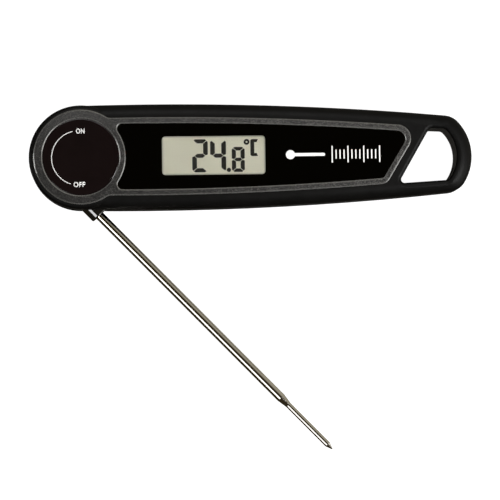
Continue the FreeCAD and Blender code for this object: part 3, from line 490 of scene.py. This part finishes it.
def letters(name, text, place, width, base_z, material):
    """Plain capital letters of a given width, centred on place, as a mesh."""
    curve = bpy.data.curves.new(name + "_outline", "FONT")
    curve.body = text
    curve.size = 1.0
    curve.offset = LETTER_WEIGHT
    curve.space_character = LETTER_SPACING
    curve.resolution_u = 6
    source = bpy.data.objects.new(name + "_outline", curve)
    bpy.context.collection.objects.link(source)
    bpy.context.view_layer.update()
    mesh = bpy.data.meshes.new_from_object(source.evaluated_get(bpy.context.evaluated_depsgraph_get()))
    bpy.data.objects.remove(source)
    mesh.name = name
    xs = [v.co.x for v in mesh.vertices]
    ys = [v.co.y for v in mesh.vertices]
    scale = (width / (max(xs) - min(xs)), LETTER_H / (max(ys) - min(ys)))
    middle = ((max(xs) + min(xs)) / 2, (max(ys) + min(ys)) / 2)
    for v in mesh.vertices:
        x = (v.co.x - middle[0]) * scale[0] + place[0]
        y = (v.co.y - middle[1]) * scale[1] + place[1]
        v.co = (x, y, base_z)
    thicken(mesh)
    ink_piece(name, mesh, material)


def thicken(mesh):
    """Turn a flat mesh into a closed ink film."""
    work = bmesh.new()
    work.from_mesh(mesh)
    bmesh.ops.remove_doubles(work, verts=work.verts, dist=1e-7)
    grown = bmesh.ops.extrude_face_region(work, geom=work.faces[:])
    lifted = [g for g in grown["geom"] if isinstance(g, bmesh.types.BMVert)]
    bmesh.ops.translate(work, verts=lifted, vec=(0, 0, PRINT_T))
    bmesh.ops.recalc_face_normals(work, faces=work.faces)
    work.to_mesh(mesh)
    work.free()


# ------------------------------------------------------------------- LCD digits
SEGMENTS = {"2": "abged", "4": "fgbc", "8": "abcdefg"}


def digit(symbol, x, y, size, strokes):
    """Seven-segment character; its segments have blunt outer corners and thin gaps.

    x, y is its lower left corner, size its width and height, and strokes the
    thickness of its level and its upright segments.
    """
    width, height = size
    level, upright = strokes
    blunt, gap = BLUNT_SHARE * upright, GAP_SHARE * upright
    middle = y + height / 2
    sides = ((x, 1), (x + width, -1))        # each outer side, and the way inwards from it
    left, right = x + upright + gap, x + width - upright - gap
    shapes = {}
    for name, end, up in (("a", y + height, -1), ("d", y, 1)):
        outer = [(side + turn * blunt, end) for side, turn in sides]
        cuts = [(side + turn * (blunt + gap) / 2, end + up * (blunt - gap) / 2) for side, turn in sides]
        inner = [(side + turn * (upright + gap), end + up * level) for side, turn in sides]
        shapes[name] = [outer[0], outer[1], cuts[1], inner[1], inner[0], cuts[0]]
    shapes["g"] = [
        (x + upright / 2 + gap, middle), (left, middle + level / 2), (right, middle + level / 2),
        (x + width - upright / 2 - gap, middle), (right, middle - level / 2), (left, middle - level / 2),
    ]
    for names, (side, turn) in zip(("fe", "bc"), sides):
        inner = side + turn * upright
        for name, up in zip(names, (1, -1)):
            end = middle + up * height / 2
            shapes[name] = [
                (side, end - up * blunt),
                (side + turn * (blunt - gap) / 2, end - up * (blunt + gap) / 2),
                (inner, end - up * (level + gap)),
                (inner, middle + up * (level / 2 + gap)),
                (side + turn * upright / 2, middle + up * gap),
                (side, middle + up * (level / 4 + gap)),
            ]
    return [shapes[s] for s in SEGMENTS[symbol]]


def bracket(x, y, size, strokes):
    """The C of the unit: one upright with a short bar at each end."""
    width, height = size
    level, upright = strokes
    cut = upright / 3
    return [
        (x + cut, y), (x + width, y), (x + width - cut, y + level), (x + upright, y + level),
        (x + upright, y + height - level), (x + width - cut, y + height - level),
        (x + width, y + height), (x + cut, y + height), (x, y + height - cut), (x, y + cut),
    ]


def lcd_reading(material):
    """The reading 24.8 with its degree sign and its C, on the face of the display."""
    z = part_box("lcd_cell")[1][2] + READING_LIFT
    big = []
    for symbol, x, width in BIG_DIGITS:
        big += digit(symbol, x, READING_BASE, (width, BIG_HEIGHT), BIG_STROKES)
    flat_piece("lcd_big_digits", big, z, material)
    flat_piece("lcd_small_digit", digit("8", SMALL_X, READING_BASE, SMALL_SIZE, SMALL_STROKES), z, material)
    flat_piece("lcd_point", [disc_outline(POINT_X, READING_BASE + POINT_R, POINT_R)], z, material)
    flat_piece("lcd_unit", [bracket(*UNIT_PLACE, UNIT_SIZE, UNIT_STROKES)], z, material)
    arc_strip("lcd_degree", DEGREE_CENTRE, DEGREE_R, DEGREE_STROKE, 0, 359.9, z, material, 40)


# ---------------------------------------------------------------------- artwork
def dial_artwork(material):
    """Switching arc with ON and OFF at its ends."""
    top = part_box("dial_cover")[1][2]
    arc_strip("dial_arc", ARC_CENTRE, ARC_R, ARC_STROKE, ARC_FROM, ARC_TO, top, material)
    letters("dial_on", "ON", ON_PLACE, ON_WIDTH, top, material)
    letters("dial_off", "OFF", OFF_PLACE, OFF_WIDTH, top, material)


def thermometer_outline(x, bulb_r, stem_half, reach):
    """Outline of a bulb at x with a round-ended stem that reaches along X."""
    bulb_steps, end_steps = 40, 12
    opening = math.asin(stem_half / bulb_r)
    turns = [opening + (2 * math.pi - 2 * opening) * i / bulb_steps for i in range(bulb_steps + 1)]
    outline = [(x + bulb_r * math.cos(t), bulb_r * math.sin(t)) for t in turns]
    ends = [math.pi * (i / end_steps - 0.5) for i in range(end_steps + 1)]
    return outline + [(x + reach + stem_half * math.cos(t), stem_half * math.sin(t)) for t in ends]


def panel_artwork(material):
    """A plain thermometer sign and a row of scale ticks beside the display."""
    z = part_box("display_lens")[1][2]
    sign = thermometer_outline(SIGN_X, SIGN_BULB_R, SIGN_STEM_HALF, SIGN_REACH)
    flat_piece("sign_thermometer", [sign], z, material)
    ticks = []
    for i in range(TICKS):
        reach = LONG_REACH if i % LONG_TICK == 0 else SHORT_REACH
        x = TICK_START + TICK_STEP * i
        ticks.append(bar(x, x + TICK_W, -reach, reach))
    flat_piece("sign_scale", ticks, z, material)


# ------------------------------------------------------------------ stage, light
def glowing_paper():
    """White paper that glows evenly, so the ground stays white."""
    p = Paint("floor_paper").set(Specular_IOR_Level=0.1, Roughness=0.9)
    p.set(Emission_Color=(1.0, 1.0, 1.0, 1.0), Emission_Strength=1.0)
    return p.patchy(60.0, 3.0, (0.15, 0.15, 0.15), (0.17, 0.17, 0.17)).material


def backdrop():
    """Pale floor, and a dome of the same paper far behind it for low views."""
    paper = glowing_paper()
    bpy.ops.mesh.primitive_plane_add(size=FLOOR_SIZE, location=(STAGE_X, STAGE_Y, FLOOR_Z))
    floor = bpy.context.object
    floor.name = "floor"
    middle = (STAGE_X, STAGE_Y, 0.0)
    bpy.ops.mesh.primitive_uv_sphere_add(segments=48, ring_count=24, radius=DOME_R, location=middle)
    dome = bpy.context.object
    dome.name = "dome"
    for stage in (floor, dome):
        stage.data.materials.append(paper)
        stage.visible_diffuse = False
        stage.visible_glossy = False
    dome.visible_shadow = False
    dome.visible_transmission = False


def soft_box(name, azimuth, elevation, distance, size, radiance):
    """Rectangular studio light that faces the object; radiance is that of its face."""
    data = bpy.data.lights.new(name, "AREA")
    data.shape = "RECTANGLE"
    data.size, data.size_y = size
    data.energy = radiance * math.pi * size[0] * size[1]
    lamp = bpy.data.objects.new(name, data)
    turn, lift = math.radians(azimuth), math.radians(elevation)
    way = Vector((math.cos(lift) * math.cos(turn), math.cos(lift) * math.sin(turn), math.sin(lift)))
    lamp.location = LIT_POINT + way * distance
    lamp.rotation_euler = way.to_track_quat("Z", "Y").to_euler()
    lamp.visible_camera = False
    bpy.context.collection.objects.link(lamp)


def dim_room():
    """Dark room, paler and beige towards the far right, with a dim glow from below."""
    world = bpy.data.worlds.new("studio")
    world.use_nodes = True
    room = Nodes(world.node_tree)
    way = room.node("ShaderNodeTexCoord").outputs["Generated"]
    walls = room.ramp(room.dot(way, ROOM_PALE_WAY), ROOM_DARK, ROOM_PALE, ROOM_SPREAD)
    below = room.remap(room.part(way, "Z"), BELOW_SPREAD, 0.0, 1.0)
    background = world.node_tree.nodes["Background"]
    room.link(room.mix(below, walls, ROOM_BELOW), background.inputs["Color"])
    bpy.context.scene.world = world


def lighting():
    dim_room()
    for box in SOFT_BOXES:
        soft_box(*box)


def photo_camera():
    data = bpy.data.cameras.new("photo_view")
    data.sensor_width = SENSOR_MM
    data.lens = SENSOR_MM * PX_PER_MM * VIEW_DISTANCE / MM / FRAME_PX
    data.clip_start = NEAR_CLIP
    camera = bpy.data.objects.new("photo_view", data)
    back = Vector((math.tan(VIEW_YAW), -math.tan(VIEW_PITCH), 1.0)).normalized()
    right = Vector((0.0, 1.0, 0.0)).cross(back).normalized()
    up = back.cross(right)
    rolled_right = right * math.cos(VIEW_ROLL) + up * math.sin(VIEW_ROLL)
    rolled_up = up * math.cos(VIEW_ROLL) - right * math.sin(VIEW_ROLL)
    turn = Matrix((rolled_right, rolled_up, back)).transposed()
    camera.matrix_world = Matrix.Translation(VIEW_CENTRE + back * VIEW_DISTANCE) @ turn.to_4x4()
    bpy.context.collection.objects.link(camera)
    bpy.context.scene.camera = camera


# ------------------------------------------------------------------------ build
def dress(material, *names):
    """Give the CAD nodes with these names one material."""
    for name in names:
        mesh = NODE[name].data
        mesh.materials.clear()
        mesh.materials.append(material)


def dress_outside():
    shell_tone, shell_edge = (0.0030, 0.0029, 0.0027), (0.007, 0.0068, 0.0065)
    shell = black_plastic("black_shell", shell_tone, shell_edge, 0.46, 0.16, 0.010, 0.08)
    liner = black_plastic("black_liner", (0.004, 0.004, 0.004), (0.015, 0.015, 0.015), 0.60, 0.22, 0.012)
    dress(shell, "front_shell", "back_shell", "battery_cover")
    dress(liner, "probe_channel", "lcd_frame", "rotor_lid")
    dress(holder_gloss(), "probe_rotor")
    dress(graphite_trim(), "bezel_trim")
    dress(gloss_black("dial_gloss", (0.0062, 0.0036, 0.0039)), "dial_cover")
    dress(clear_lens(), "display_lens")
    dress(gloss_black("mask_film", (0.0010, 0.0010, 0.0011), 0.35, 0.1), "lens_mask")
    dress(lcd_glass(), "lcd_cell")
    dress(stainless("tube_steel", (0.74, 0.71, 0.65), 0.04), "probe_tube")
    dress(stainless("tip_steel", (0.72, 0.69, 0.63), 0.05), "probe_tip")


def dress_inside():
    epoxy = mottled("black_epoxy", (0.008, 0.008, 0.008), (0.02, 0.02, 0.02), 0.25)
    chips = mottled("board_parts", (0.16, 0.11, 0.07), (0.45, 0.36, 0.25), 0.5, 1.6)
    jacket = mottled("wire_jacket", (0.30, 0.03, 0.02), (0.42, 0.06, 0.04), 0.45)
    spring = plated("spring_steel", (0.60, 0.59, 0.56))
    dress(rubber(), "hub_o_ring", "battery_cover_seal", "tube_seal", "zebra_strips")
    dress(circuit_board(), "main_board")
    dress(epoxy, "controller_blob", "thermistor")
    dress(chips, "board_components")
    dress(capsule_glass(), "reed_switch")
    dress(spring, "battery_terminal_plus", "battery_terminal_minus", "curved_washer")
    dress(plated("cell_steel", (0.62, 0.62, 0.61), 0.25), "coin_cell", "switch_magnet")
    dress(plated("screw_steel", (0.30, 0.30, 0.31), 0.35), "housing_screws", "board_screws", "pivot_screw")
    dress(plated("brass_sleeve", (0.66, 0.48, 0.20)), "probe_ferrule")
    dress(jacket, "board_leads", "thermistor_leads")


dress_outside()
dress_inside()
lcd_reading(lcd_ink())
ink = white_ink()
dial_artwork(ink)
panel_artwork(ink)
backdrop()
lighting()
photo_camera()
bpy.context.scene.view_settings.view_transform = "Standard"
